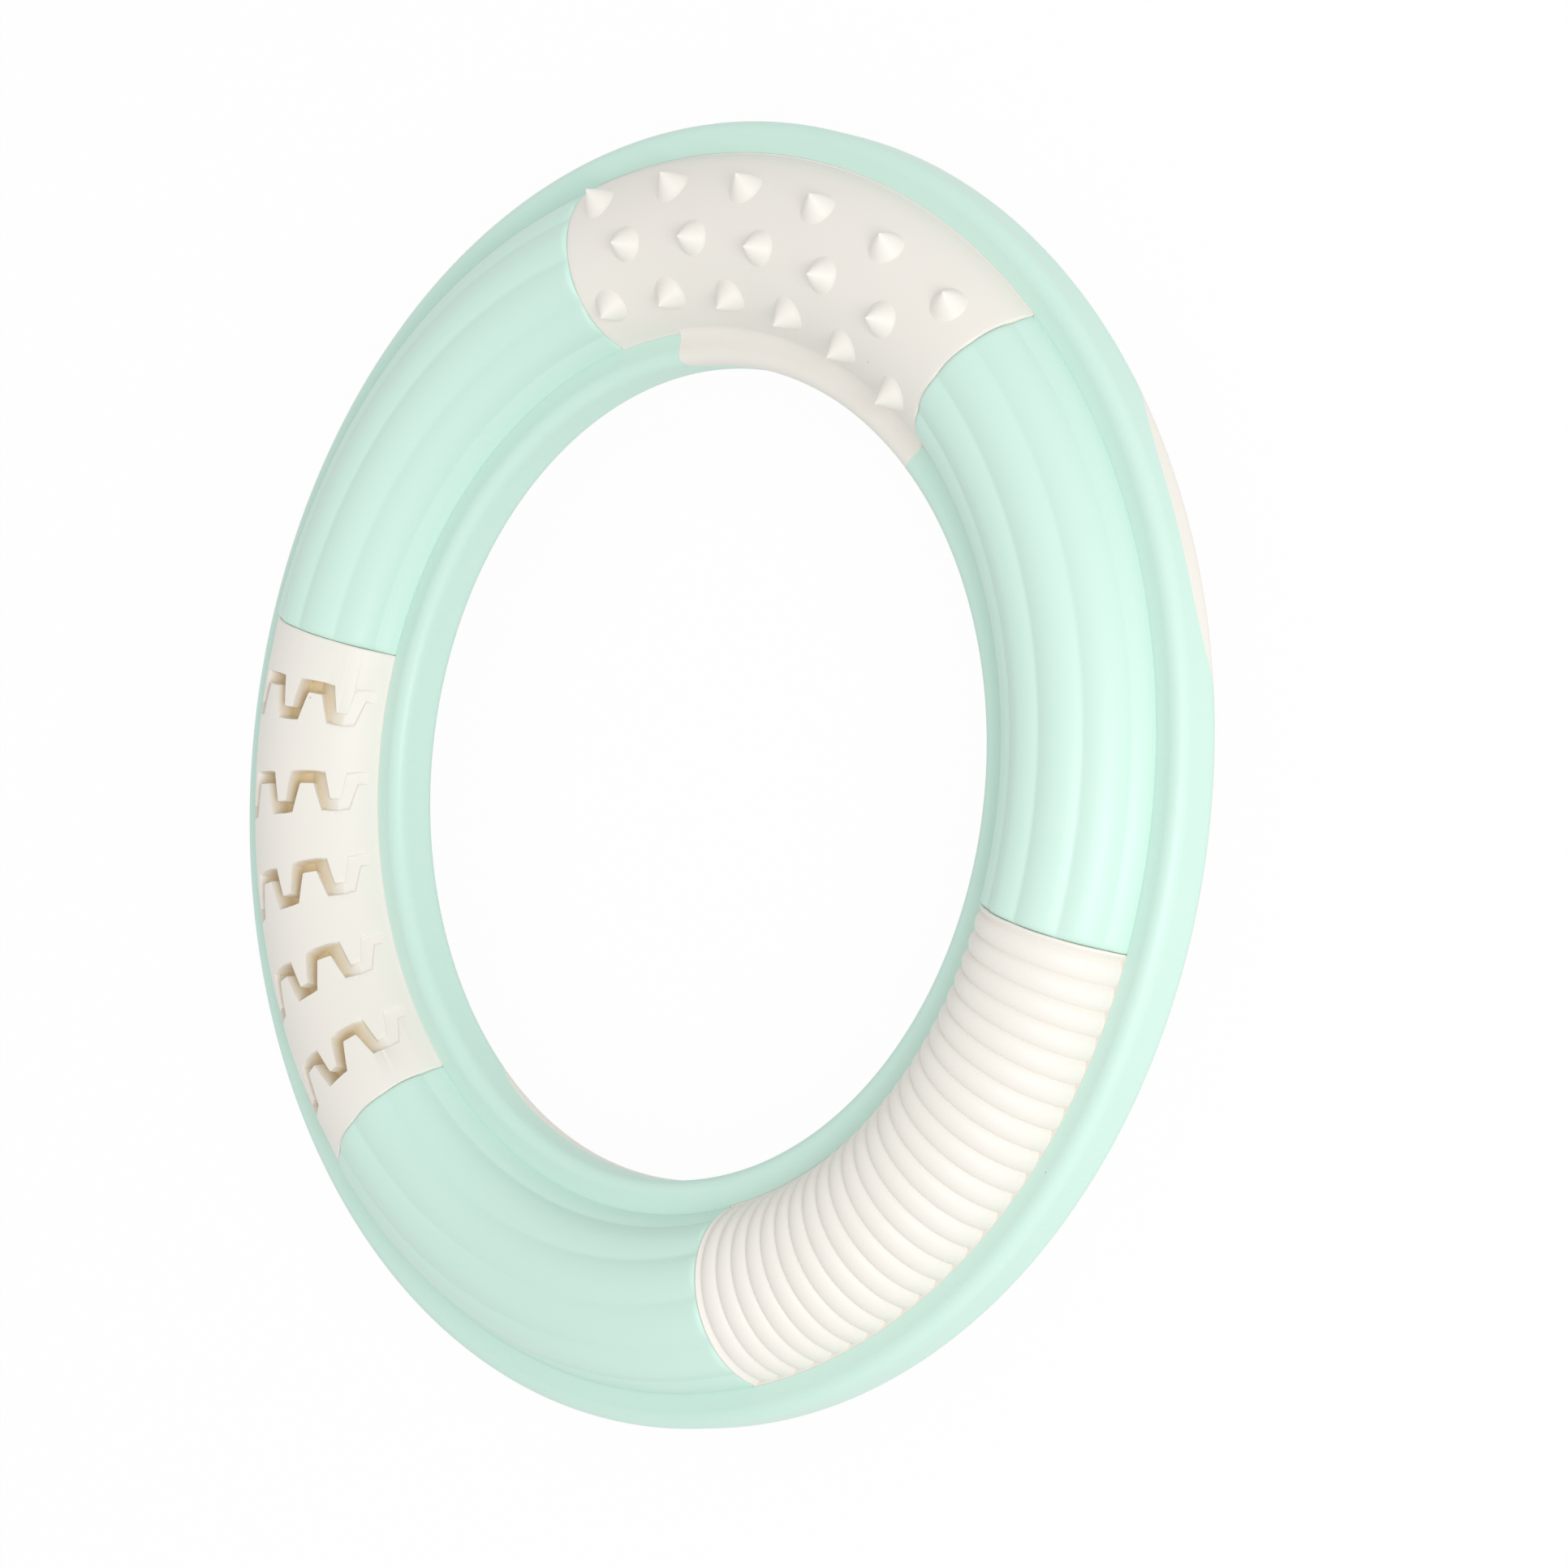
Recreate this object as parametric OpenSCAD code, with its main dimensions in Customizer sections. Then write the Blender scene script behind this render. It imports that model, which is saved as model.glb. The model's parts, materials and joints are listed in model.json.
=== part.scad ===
/* [Ring] */
// Diameter over the rim of the flange
outer_d = 160; // [140:1:220]
// Width of the flange outside the tube, at the rim and at the hole
rim_w = 3.8; // [3.4:0.1:6]
// Thickness of the flange, front to back
flange_t = 6.6; // [5.6:0.1:8]
// Radius of the flange's rounded edges
rim_round = 1.5; // [0.6:0.1:2]
// Width of the shallow channel along each side of the tube
channel_w = 2.4; // [1.6:0.1:2.6]
// Depth of that channel below the flange's face, at the tube
channel_depth = 0.3; // [0.15:0.05:0.6]

/* [Lobes] */
// Distance from the tube's middle line to the crests of the lobes
crest_r = 11.2; // [9.6:0.1:13]
// Depth of the creases between the lobes
crease_depth = 0.5; // [0.3:0.05:0.8]

/* [Panels] */
// Angle of the ring that one panel fills, in degrees
panel_angle = 60; // [54:1:60]
// Place of the spiked panel's middle around the ring, in degrees
spiked_turn = 78.3; // [0:0.1:119]
// Depth of a panel's smooth face below the crests of the lobes
panel_drop = 0.4; // [0.2:0.05:0.6]
// Gap between a panel and the walls of its window
seam = 0.2; // [0.1:0.05:0.3]

/* [Spikes] */
// Diameter of a spike at its foot
spike_d = 4.4; // [3:0.1:5.2]
// Height of a spike above the panel's face
spike_h = 2.6; // [1.6:0.1:4]
// Radius of a spike's rounded tip
spike_tip_r = 0.3; // [0.2:0.05:0.6]
// Spikes in an outer row; the middle row has one less
spike_count = 6; // [3:1:6]
// Angle around the ring between two spikes of a row, in degrees
spike_pitch = 10.2; // [8:0.1:10.4]
// Turn of the whole pattern off the panel's middle, in degrees
spike_shift = 1; // [-1.5:0.1:1.5]
// Angle around the tube between two rows, in degrees
spike_row_angle = 37.5; // [34:0.5:40]
// Turn of the middle row around the tube, towards the rim, in degrees
spike_row_turn = -3.5; // [-5:0.5:5]

/* [Zigzag grooves] */
// Grooves across one panel
zigzag_count = 5; // [2:1:5]
// Angle around the ring between two grooves, in degrees
zigzag_pitch = 11.04; // [9:0.01:11.2]
// Width of a groove
zigzag_w = 1.6; // [1:0.1:2]
// Depth of a groove
zigzag_depth = 2.6; // [1.6:0.1:3.4]
// Swing of a groove's middle line to each side, in degrees around the ring
zigzag_swing = 1.78; // [1.4:0.01:2]
// Length of a groove's flats on its upper side
zigzag_high_flat = 3.2; // [2.6:0.1:3.4]
// Length of a groove's flats on its lower side
zigzag_low_flat = 2.1; // [1.6:0.1:2.4]

/* [Ribs] */
// Ribs across one panel
rib_count = 25; // [12:1:27]
// Depth of the creases between the ribs
rib_depth = 0.6; // [0.3:0.05:0.8]
// Angle of the plain strip at each end of the ribs, in degrees
strip_angle = 0.8; // [0.5:0.1:1.5]

/* [Feet] */
// Thickness of the mint web that a panel's foot stands on
web_t = 0.8; // [0.5:0.1:1.2]
// Angle of the front spiked panel's foot at the hole, in degrees
front_foot_angle = 48; // [20:1:48]
// Turn of that foot off the panel's middle, in degrees
front_foot_turn = -5; // [-5:0.5:5]
// Angle of the back spiked panel's foot at the hole, in degrees
back_foot_angle = 52; // [20:1:52]
// Turn of that foot off the panel's middle, in degrees
back_foot_turn = 1.5; // [-3.5:0.5:3.5]
// Angle of the back ribbed panel's foot at the rim, in degrees
rim_foot_angle = 28; // [20:1:40]
// Turn of the rim foot off the panel's middle, in degrees
rim_foot_turn = -6.5; // [-6.5:0.5:6.5]

/* [Hidden] */
$fn = 96;

mint = "#cbe9dd";
cream = "#f3f0ea";

// The section's half width reaches from the tube's middle line to rim and hole
section_half = crest_r + rim_w;
tube_line_r = outer_d / 2 - section_half;
flange_half = flange_t / 2;

// Three panels on each face, a third of the ring apart
panel_step = 120;
zigzag_turn = spiked_turn + panel_step;
ribbed_turn = spiked_turn - panel_step;
panel_turns = [spiked_turn, zigzag_turn, ribbed_turn];
// Turned over, the back face has its spiked panel half a turn from the front one
half_turn = 180;
back_turn = -2 * spiked_turn - half_turn;

// Six lobes over each face, their creases on a circle about the middle line
lobe_step = 30;
lobe_half = lobe_step / 2;
lobe_places = [for (i = [-5 : 2 : 5]) i * lobe_half];
crease_r = crest_r - crease_depth;
core_r = crease_r * cos(lobe_half);
lobe_chord = crease_r * sin(lobe_half);
lobe_rise = crest_r - core_r;
lobe_r = (lobe_chord * lobe_chord + lobe_rise * lobe_rise) / (2 * lobe_rise);
lobe_out = crest_r - lobe_r;

// The windows are as wide as the lobes are where these meet the flange
window_half = lobe_out * sin(5 * lobe_half) + lobe_r;
panel_half = window_half - seam;
panel_r = crest_r - panel_drop;
panel_stretch = panel_angle - 2 * seam / tube_line_r * 180 / PI;

// The channel is an arc of this radius, deepest at the panel's side
channel_r = (channel_w * channel_w + channel_depth * channel_depth) / (2 * channel_depth);
channel_floor = flange_half - channel_depth;
// A panel's shoulders lie a seam lower, under its feet
shoulder = channel_floor - seam;

// Zigzag grooves: flats lie this far apart around the tube, from side to side
flat_step = 20.5;
flat_shift = -7;
first_flat = -3;
last_flat = 4;
// A leaning cut between two flats is narrower than they are
lean_cut_share = 0.75;

// Ribs are rounded in this many steps, and their backs across the tube in these
rib_step = (panel_angle - 2 * strip_angle) / rib_count;
rib_steps = 4;
back_steps = 12;
// A strip falls to its neighbour's crease over this share of its width
crease_share = 0.3;

// One overrun serves every cut
over = 1;

// Turns children to a place around the ring
module around(turn) {
    rotate([0, 0, turn])
        children();
}

// Stands children on the tube's middle line, with z out through its face
module on_tube(turn, section) {
    around(turn)
        translate([tube_line_r, 0, 0])
            rotate([0, section, 0])
                children();
}

// Sweeps a section, drawn about the tube's middle line, along part of the ring
module ring_stretch(turn, angle) {
    around(turn - angle / 2)
        rotate_extrude(angle = angle)
            translate([tube_line_r, 0])
                children();
}

// Turns a front piece over to its place on the back face
module turned_over() {
    rotate([180, 0, 0])
        around(back_turn)
            children();
}

// The flange's half section above the parting plane, rounded at rim and hole
module flange_section() {
    round_at = section_half - rim_round;
    difference() {
        union() {
            translate([-section_half, 0])
                square([2 * section_half, flange_half - rim_round]);
            translate([-round_at, 0])
                square([2 * round_at, flange_half]);
            for (side = [-1, 1])
                translate([side * round_at, flange_half - rim_round])
                    circle(r = rim_round);
        }
        for (side = [-1, 1])
            translate([side * panel_half, channel_floor + channel_r])
                circle(r = channel_r);
    }
}

// The tube's lobed half section
module lobed_section() {
    intersection() {
        union() {
            circle(r = core_r);
            for (a = lobe_places)
                translate([lobe_out * sin(a), lobe_out * cos(a)])
                    circle(r = lobe_r);
        }
        translate([-window_half, 0])
            square([2 * window_half, crest_r + over]);
    }
}

// A panel's half section: round on top, square where it enters its window
module panel_section(r) {
    intersection() {
        union() {
            circle(r = r);
            translate([-panel_half, 0])
                square([2 * panel_half, shoulder]);
        }
        translate([-panel_half, 0])
            square([2 * panel_half, r + over]);
    }
}

// One side of the flange above its web: side is 1 at the rim and -1 at the hole
module foot_section(side) {
    foot_from = panel_half - over;
    foot_w = section_half - foot_from;
    intersection() {
        flange_section();
        translate([side == 1 ? foot_from : -section_half, web_t])
            square([foot_w, flange_half]);
    }
}

// The cut that a foot needs, a seam longer than the foot at each end
module foot_space(turn, angle, side) {
    seam_angle = seam / (tube_line_r + side * section_half) * 180 / PI;
    space_w = section_half + over - window_half + seam;
    ring_stretch(turn, angle + 2 * seam_angle)
        translate([side == 1 ? window_half - seam : -section_half - over, web_t])
            square([space_w, flange_half]);
}

// One face's mint shell: flange and lobes all round, less the panels' windows
module face_shell() {
    difference() {
        rotate_extrude()
            translate([tube_line_r, 0])
                union() {
                    flange_section();
                    lobed_section();
                }
        for (turn = panel_turns)
            ring_stretch(turn, panel_angle)
                translate([-window_half, -over])
                    square([2 * window_half, crest_r + 2 * over]);
    }
}

// A cone with a rounded tip, as wide as its foot at the height of the panel's face
module spike() {
    tip_at = spike_h - spike_tip_r;
    slope = (spike_d / 2 - spike_tip_r) / tip_at;
    foot_r = spike_d / 2 + slope * over;
    rotate_extrude()
        intersection() {
            union() {
                polygon([[0, -over], [foot_r, -over], [spike_tip_r, tip_at], [0, tip_at]]);
                translate([0, tip_at])
                    circle(r = spike_tip_r);
            }
            translate([0, -over])
                square([foot_r, spike_h + over]);
        }
}

// Three rows of spikes, the middle row between the others
module spikes(turn) {
    for (row = [-1 : 1]) {
        count = spike_count - (row == 0 ? 1 : 0);
        section = spike_row_turn + row * spike_row_angle;
        for (i = [0 : count - 1])
            on_tube(turn + spike_shift + (i - (count - 1) / 2) * spike_pitch, section)
                translate([0, 0, panel_r])
                    spike();
    }
}

// A straight cut in a panel's face, whose ends are a lean apart across the tube
module face_cut(turn, section, width, length, lean) {
    on_tube(turn, section)
        translate([0, 0, panel_r - zigzag_depth])
            linear_extrude(height = zigzag_depth + over)
                polygon([
                    [-(width + lean) / 2, -length / 2],
                    [(width - lean) / 2, -length / 2],
                    [(width + lean) / 2, length / 2],
                    [-(width - lean) / 2, length / 2]
                ]);
}

// One groove across the tube: flats on alternate sides, joined by leaning cuts
module zigzag_groove(turn) {
    flat_pitch = panel_r * flat_step * PI / 180;
    lean = flat_pitch - (zigzag_high_flat + zigzag_low_flat) / 2;
    for (j = [first_flat : last_flat]) {
        side = j % 2 == 0 ? 1 : -1;
        flat = side == 1 ? zigzag_low_flat : zigzag_high_flat;
        section = flat_shift + j * flat_step;
        face_cut(turn + side * zigzag_swing, section, flat + zigzag_w / 2, zigzag_w, 0);
        between = section + flat_step / 2;
        swing = (tube_line_r + panel_r * sin(between)) * 2 * zigzag_swing * PI / 180;
        if (j < last_flat)
            face_cut(turn, between, zigzag_w * lean_cut_share, swing, -side * lean);
    }
}

// A ribbed panel's section at one place around the ring, its back an arc of radius r
function rib_section(turn, r) =
    let (arc_end = min(acos(shoulder / r), asin(min(panel_half / r, 1))))
    let (back = [
        for (i = [0 : back_steps])
            let (a = (2 * i / back_steps - 1) * arc_end)
            [r * sin(a), r * cos(a)]
    ])
    let (outline = concat(
        [[-panel_half, 0], [-panel_half, shoulder]],
        back,
        [[panel_half, shoulder], [panel_half, 0]]
    ))
    [
        for (p = outline)
            let (out = tube_line_r + p.x)
            [out * cos(turn), out * sin(turn), p.y]
    ];

// Places around the panel with the radius of its back there: strip, ribs, strip
function rib_places() =
    let (first = -rib_count * rib_step / 2)
    let (end = panel_stretch / 2)
    let (strip_edge = first - (end + first) * crease_share)
    concat(
        [[-end, panel_r], [strip_edge, panel_r]],
        [
            for (i = [0 : rib_count * rib_steps])
                let (across = 2 * (i % rib_steps) / rib_steps - 1)
                [first + i * rib_step / rib_steps, crest_r - rib_depth * across * across]
        ],
        [[-strip_edge, panel_r], [end, panel_r]]
    );

// The skin over rings of points that all have the same number of points
function skin_faces(rings, size) = concat(
    [[for (j = [0 : size - 1]) j]],
    [
        for (i = [0 : rings - 2], j = [0 : size - 1])
            let (a = i * size + j)
            let (b = i * size + (j + 1) % size)
            each [[a, a + size, b + size], [a, b + size, b]]
    ],
    [[for (j = [size - 1 : -1 : 0]) (rings - 1) * size + j]]
);

module spiked_panel(turn) {
    ring_stretch(turn, panel_stretch)
        panel_section(panel_r);
    spikes(turn);
}

module zigzag_panel(turn) {
    difference() {
        ring_stretch(turn, panel_stretch)
            panel_section(panel_r);
        for (k = [0 : zigzag_count - 1])
            zigzag_groove(turn + (k - (zigzag_count - 1) / 2) * zigzag_pitch);
    }
}

// Rounded ribs in radial planes, as one skin from end to end of the panel
module ribbed_panel(turn) {
    rings = [for (p = rib_places()) rib_section(p[0], p[1])];
    around(turn)
        polyhedron(
            points = [for (ring = rings) each ring],
            faces = skin_faces(len(rings), len(rings[0]))
        );
}

// A foot beside a panel, which shows on the wall of the hole or of the rim
module foot(turn, angle, side) {
    ring_stretch(turn, angle)
        foot_section(side);
}

module front_shell() {
    color(mint)
        difference() {
            face_shell();
            foot_space(spiked_turn + front_foot_turn, front_foot_angle, -1);
        }
}

module back_shell() {
    color(mint)
        turned_over()
            difference() {
                face_shell();
                foot_space(spiked_turn + back_foot_turn, back_foot_angle, -1);
                foot_space(ribbed_turn + rim_foot_turn, rim_foot_angle, 1);
            }
}

module front_spiked_panel() {
    color(cream) {
        spiked_panel(spiked_turn);
        foot(spiked_turn + front_foot_turn, front_foot_angle, -1);
    }
}

module front_zigzag_panel() {
    color(cream)
        zigzag_panel(zigzag_turn);
}

module front_ribbed_panel() {
    color(cream)
        ribbed_panel(ribbed_turn);
}

module back_spiked_panel() {
    color(cream)
        turned_over() {
            spiked_panel(spiked_turn);
            foot(spiked_turn + back_foot_turn, back_foot_angle, -1);
        }
}

module back_zigzag_panel() {
    color(cream)
        turned_over()
            zigzag_panel(zigzag_turn);
}

module back_ribbed_panel() {
    color(cream)
        turned_over() {
            ribbed_panel(ribbed_turn);
            foot(ribbed_turn + rim_foot_turn, rim_foot_angle, 1);
        }
}

front_shell();
back_shell();
front_spiked_panel();
front_zigzag_panel();
front_ribbed_panel();
back_spiked_panel();
back_zigzag_panel();
back_ribbed_panel();
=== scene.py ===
import json
import math

import bmesh
import bpy
import numpy as np
from mathutils import Matrix, Vector


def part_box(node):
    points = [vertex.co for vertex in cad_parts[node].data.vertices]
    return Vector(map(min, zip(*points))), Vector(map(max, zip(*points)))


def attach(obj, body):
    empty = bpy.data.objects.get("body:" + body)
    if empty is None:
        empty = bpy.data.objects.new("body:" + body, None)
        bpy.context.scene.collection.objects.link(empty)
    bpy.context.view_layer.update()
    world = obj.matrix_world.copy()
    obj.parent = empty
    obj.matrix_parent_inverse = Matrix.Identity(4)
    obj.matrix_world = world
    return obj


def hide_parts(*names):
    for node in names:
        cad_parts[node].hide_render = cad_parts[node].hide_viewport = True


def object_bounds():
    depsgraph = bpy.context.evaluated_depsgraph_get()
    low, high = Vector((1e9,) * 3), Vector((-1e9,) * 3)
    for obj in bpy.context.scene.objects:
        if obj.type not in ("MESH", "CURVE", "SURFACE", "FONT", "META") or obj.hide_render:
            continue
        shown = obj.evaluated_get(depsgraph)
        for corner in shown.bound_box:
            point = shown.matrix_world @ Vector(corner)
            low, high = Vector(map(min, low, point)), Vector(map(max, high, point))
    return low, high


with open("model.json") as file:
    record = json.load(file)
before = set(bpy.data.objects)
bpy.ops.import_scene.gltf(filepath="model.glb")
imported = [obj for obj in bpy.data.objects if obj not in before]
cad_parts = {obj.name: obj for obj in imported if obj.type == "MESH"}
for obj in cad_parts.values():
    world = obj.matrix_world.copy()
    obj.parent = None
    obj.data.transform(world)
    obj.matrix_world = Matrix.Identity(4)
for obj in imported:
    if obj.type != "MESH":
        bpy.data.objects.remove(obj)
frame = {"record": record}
cad_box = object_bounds()

MM = 0.001

# The ring's main sizes come from the frame. The sides of its box lie a hair apart, and the rim
# keeps inside the nearest.
RIM_R = min(abs(side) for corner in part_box("front_shell") for side in corner[:2])
HOLE_R = frame["record"]["mounts"][0]["dims"]["r_mm"] * MM
TUBE_R = (RIM_R + HOLE_R) / 2
SECTION_HALF = (RIM_R - HOLE_R) / 2
# The flange stands out by this much on each side of the lobes' crests
RIM_W = 3.8 * MM
CREST_R = SECTION_HALF - RIM_W

# Flange
FLANGE_HALF = 3.3 * MM
RIM_ROUND = 1.5 * MM
CHANNEL_W = 2.4 * MM
CHANNEL_DEPTH = 0.3 * MM

# Lobes over the tube
LOBE_COUNT = 6
LOBE_STEP = math.radians(30)
LOBE_PLACES = [LOBE_STEP * (i - (LOBE_COUNT - 1) / 2) for i in range(LOBE_COUNT)]
CREASE_PLACES = [LOBE_STEP * k for k in range(1 - LOBE_COUNT // 2, LOBE_COUNT // 2)]
CREASE_DEPTH = 0.5 * MM
# Two lobes blend where their radii are closer than this
CREASE_BLEND = 0.08 * MM
LOBE_END_ROUND = 0.8 * MM
LOBE_END_DROP = 0.3 * MM
LOBE_END_FADE = 1.9 * MM

# Panels
PANEL_ANGLE = math.radians(60)
PANEL_STEP = math.radians(120)
SPIKED_TURN = math.radians(78.3)
ZIGZAG_TURN = SPIKED_TURN + PANEL_STEP
RIBBED_TURN = SPIKED_TURN - PANEL_STEP
PANEL_TURNS = (SPIKED_TURN, ZIGZAG_TURN, RIBBED_TURN)
# Turned over, the back face has its spiked panel half a turn from the front one
BACK_TURN = -2 * SPIKED_TURN - math.pi
PANEL_DROP = 0.4 * MM
PANEL_R = CREST_R - PANEL_DROP
PANEL_END_ROUND = 0.25 * MM
SEAM = 0.2 * MM
END_SEAM = 0.05 * MM
SIDE_SEAM = 0.02 * MM
WEB_T = 0.8 * MM
WINDOW_FLOOR = 0.35 * MM
PANEL_FLOOR = 0.5 * MM
LEDGE_DROP = 0.01 * MM

# Spikes; the profile's points are (share of the height, share of the foot's radius)
SPIKE_H = 2.59 * MM
SPIKE_FOOT_R = 2.2 * MM
SPIKE_FLARE = 1.15
SPIKE_SINK = 0.25 * MM
SPIKE_PITCH = math.radians(10.2)
SPIKE_SHIFT = math.radians(0.5)
SPIKE_ROW_ANGLE = math.radians(37.5)
SPIKE_ROW_TURN = math.radians(-3.5)
SPIKE_ROWS = ((-1, 6), (0, 5), (1, 6))
SPIKE_PROFILE = [
    (0.0, 1.0), (0.07, 0.94), (0.11, 0.87), (0.16, 0.8), (0.25, 0.715), (0.5, 0.477), (0.75, 0.238),
    (0.9, 0.096), (0.955, 0.058), (0.985, 0.034), (1.0, 0.003),
]

# Zigzag grooves
ZIGZAG_COUNT = 5
ZIGZAG_PITCH = math.radians(11.04)
ZIGZAG_W = 1.7 * MM
ZIGZAG_DEPTH = 2.6 * MM
ZIGZAG_SWING = math.radians(1.78)
ZIGZAG_STEP = math.radians(20.5)
ZIGZAG_SHIFT = math.radians(-5)
# Lengths of the flats, on alternate sides, of a groove's upper and lower edge
UPPER_FLATS = (math.radians(26), math.radians(7))
LOWER_FLATS = (math.radians(10), math.radians(19))
# A groove's wall, as points (share of the groove's half width, share of its depth)
GROOVE_WALL = [
    (1.0, 0.0), (0.97, 0.03), (0.93, 0.12), (0.9, 0.3),
    (0.87, 0.8), (0.83, 0.93), (0.75, 0.99), (0.6, 1.0),
]
# Columns between two grooves, as shares of the way across
BETWEEN_SHARES = (0.08, 0.3, 0.5, 0.7, 0.92)
# Towards the hole the grooves grow shallow, then run out before the panel's edge, and their
# painted tan shade fades
ZIGZAG_FADE = (math.radians(-68), math.radians(-60), math.radians(-48), math.radians(-24))
ZIGZAG_FADED_DEPTHS = (0.0, 0.15, 0.15, 1.0)
ZIGZAG_PAINTED_SHADE_SHARES = (0.0, 0.0, 0.0, 1.0)

# Ribs
RIB_COUNT = 25
RIB_DEPTH = 0.6 * MM
RIB_ARC_SHARE = 0.85
RIB_COLUMNS = 14
# The ribbed stretch reaches past its first and last crease by this share of a rib
RIB_MARGIN = 1 / 1000
STRIP_INSET = -0.25 * MM
STRIP_ANGLE = math.radians(0.8)

# Feet: side (1 at the rim), place off the panel's middle, angle, height of the web below them,
# and how square their ends are
FRONT_FOOT = (-1, math.radians(-5), math.radians(48), WEB_T, 10)
BACK_HOLE_FOOT = (-1, math.radians(1.5), math.radians(52), WEB_T, 6)
BACK_RIM_FOOT = (1, math.radians(-6.5), math.radians(28), 0.05 * MM, 3)
FOOT_FILLET = 1.2 * MM
FOOT_BURIED = 1.5 * MM

# Sizes that follow from those above
LOBE_HALF = LOBE_STEP / 2
CREASE_R = CREST_R - CREASE_DEPTH
LOBE_RISE = CREST_R - CREASE_R * math.cos(LOBE_HALF)
LOBE_CHORD = CREASE_R * math.sin(LOBE_HALF)
LOBE_R = (LOBE_CHORD ** 2 + LOBE_RISE ** 2) / (2 * LOBE_RISE)
LOBE_OUT = CREST_R - LOBE_R
LOBE_END_R = PANEL_R - LOBE_END_DROP
WINDOW_HALF = LOBE_OUT * math.sin(LOBE_PLACES[-1]) + LOBE_R
PANEL_HALF = WINDOW_HALF - SIDE_SEAM
CHANNEL_OUT = WINDOW_HALF - SEAM
CHANNEL_R = (CHANNEL_W ** 2 + CHANNEL_DEPTH ** 2) / (2 * CHANNEL_DEPTH)
CHANNEL_FLOOR = FLANGE_HALF - CHANNEL_DEPTH
LEDGE_UP = CHANNEL_FLOOR - LEDGE_DROP
ROUND_OUT = SECTION_HALF - RIM_ROUND
ROUND_UP = FLANGE_HALF - RIM_ROUND
PANEL_STRETCH = PANEL_ANGLE - 2 * END_SEAM / TUBE_R

# Colours: rubber, its pale and dark clouds, specks, and the painted tan shade deep in a groove
MINT_COLOURS = ("#cbe9dd", "#d1ede2", "#c5e4d7", "#6f9f8e", "#a9cdbf")
CREAM_COLOURS = ("#ece8e0", "#f0ece6", "#e6e1d8", "#a99f8c", "#e2d0ac")

# Rubber; a speck's edges are shares of the cell that it lies in
MINT_ROUGHNESS = 0.45
CREAM_ROUGHNESS = 0.5
ROUGHNESS_SWING = 0.04
RUBBER_IOR = 1.5
RUBBER_SHEEN = 0.08
CLOUD_W = 25 * MM
CLOUD_DETAIL = 3.0
CLOUD_SHARE = 0.25
SPECK_CELL_W = 9 * MM
SPECK_INNER_EDGE = 0.012
SPECK_OUTER_EDGE = 0.022
SPECK_SHARE = 0.6
SPECKED_CELLS = 0.5
GRAIN_W = 0.5 * MM
GRAIN_DETAIL = 2.0
GRAIN_HEIGHT = 0.1 * MM
GRAIN_STRENGTH = 0.06

# Light, with its places and lengths in metres and its power in watts
WHITE = (1, 1, 1, 1)
WORLD_LIGHT = 0.76
FLOOR_HALF = 3.0
FLOOR_GAP = 0.2 * MM
FLOOR_PAPER = 0.9
FLOOR_GLOW_SHARE = 0.96
KEY_PLACE = (0.83, -0.1, 0.55)
KEY_SIZE = 0.5
KEY_POWER = 4.0

# Mesh fineness
RING_STEP = math.radians(1)
LOBE_POINTS = 23
LOBE_END_RINGS = 6
PANEL_POINTS = 121
PANEL_END_RINGS = 5
ZIGZAG_POINTS = 281
SPIKED_RINGS = 90
SPIKE_VERTICES = 40
SPIKE_SEGMENTS = 30
FLANGE_POINTS = 30
CHANNEL_POINTS = 12
ROUND_POINTS = 12
WALL_POINTS = 8
WALL_ROUND_POINTS = 8
FOOT_RINGS = 45
FOOT_POINTS = 40
FILLET_POINTS = 10
# The fillet's place settles within this many steps
FILLET_STEPS = 4
# A panel's section starts and ends with this many points of its sides
SIDE_POINTS = 2
# Two rings at one place lie this far apart
HAIR = 1e-7
SHARP_ANGLE = math.radians(38)

# Camera, fitted to the photograph of 1932 pixels a side
PHOTO_SIDE = 1932
PHOTO_FOCAL = 6388.98
RING_CENTRE_PX = (853.2, 951.3)
CAMERA_DISTANCE = 636.4 * MM
CAMERA_TILT = math.radians(44.733)
CAMERA_ROLL = math.radians(5.973)
SENSOR = 36.0
CLIP_START = 10 * MM


# Nodes

# A colour mix's sockets: its share, its two colours and its result
MIX_SHARE, MIX_FIRST, MIX_SECOND, MIX_RESULT = 0, 6, 7, 2


def add(tree, kind, inputs=None, **settings):
    """A new node; each input takes a plain value or another node's output."""
    node = tree.nodes.new(kind)
    for name, value in settings.items():
        setattr(node, name, value)
    for key, value in (inputs or {}).items():
        if isinstance(value, bpy.types.NodeSocket):
            tree.links.new(value, node.inputs[key])
        else:
            node.inputs[key].default_value = value
    return node


def new_tree(name, sizes):
    """A geometry tree with a mesh in, a mesh out and named sizes."""
    tree = bpy.data.node_groups.new(name, "GeometryNodeTree")
    tree.interface.new_socket("Mesh", in_out="INPUT", socket_type="NodeSocketGeometry")
    for size in sizes:
        tree.interface.new_socket(size, in_out="INPUT", socket_type="NodeSocketFloat")
    tree.interface.new_socket("Material", in_out="INPUT", socket_type="NodeSocketMaterial")
    tree.interface.new_socket("Mesh", in_out="OUTPUT", socket_type="NodeSocketGeometry")
    return tree, add(tree, "NodeGroupInput").outputs


def end_tree(tree, mesh, start):
    """Realizes the instances, sets the material and ends the tree."""
    real = add(tree, "GeometryNodeRealizeInstances", {0: mesh})
    painted = add(tree, "GeometryNodeSetMaterial", {
        "Geometry": real.outputs[0], "Material": start["Material"],
    })
    add(tree, "NodeGroupOutput", {0: painted.outputs[0]})
    return tree


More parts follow.
